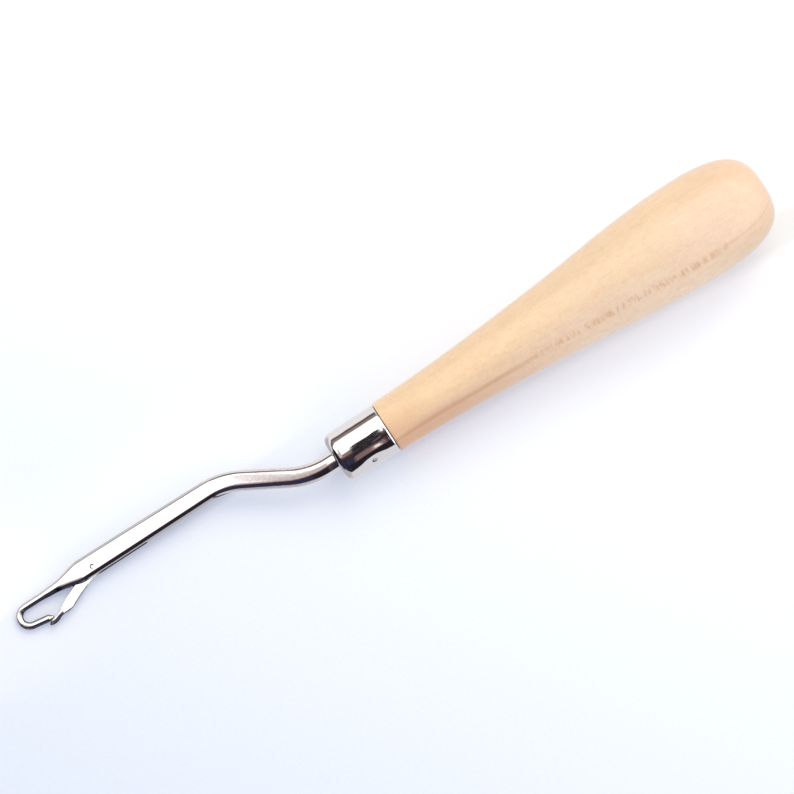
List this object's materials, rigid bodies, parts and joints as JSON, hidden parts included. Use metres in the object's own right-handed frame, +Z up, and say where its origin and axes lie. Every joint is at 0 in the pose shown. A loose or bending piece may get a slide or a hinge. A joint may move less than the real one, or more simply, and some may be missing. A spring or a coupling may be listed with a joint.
{
  "type": "latch hook",
  "caption": "Wooden-handled bent latch hook for knotting rug yarn: turned handle, metal ferrule, cranked steel shank with an open hook and a small swinging latch.",
  "frame": {"origin": "middle of the footprint on the table, under the tool as it lies at rest", "axes": "+X along the tool towards the butt of the handle, so the hook points to -X; +Y to the side that the shank cranks to; +Z up"},
  "size_m": [0.167, 0.0212, 0.0209],
  "materials": {
    "handle_wood": "clear lacquered pale hardwood, fine lengthwise grain",
    "ferrule_metal": "bright nickel plated sheet steel",
    "shank_metal": "bright nickel plated steel",
    "latch_metal": "bright nickel plated pressed steel",
    "rivet_metal": "bright nickel plated steel, ground flush"
  },
  "bodies": {
    "tool": {"handle": "handle_wood", "ferrule": "ferrule_metal", "shank": "shank_metal", "latch_rivet": "rivet_metal"},
    "latch": {"latch": "latch_metal"}
  },
  "joints": [
    {"name": "latch_swing", "type": "hinge", "parent": "tool", "child": "latch", "pos_m": [-0.06553, 0.00784, 0.00179], "axis": [-0.0636, 0.0286, 0.9976], "range_deg": [0, 145]}
  ]
}
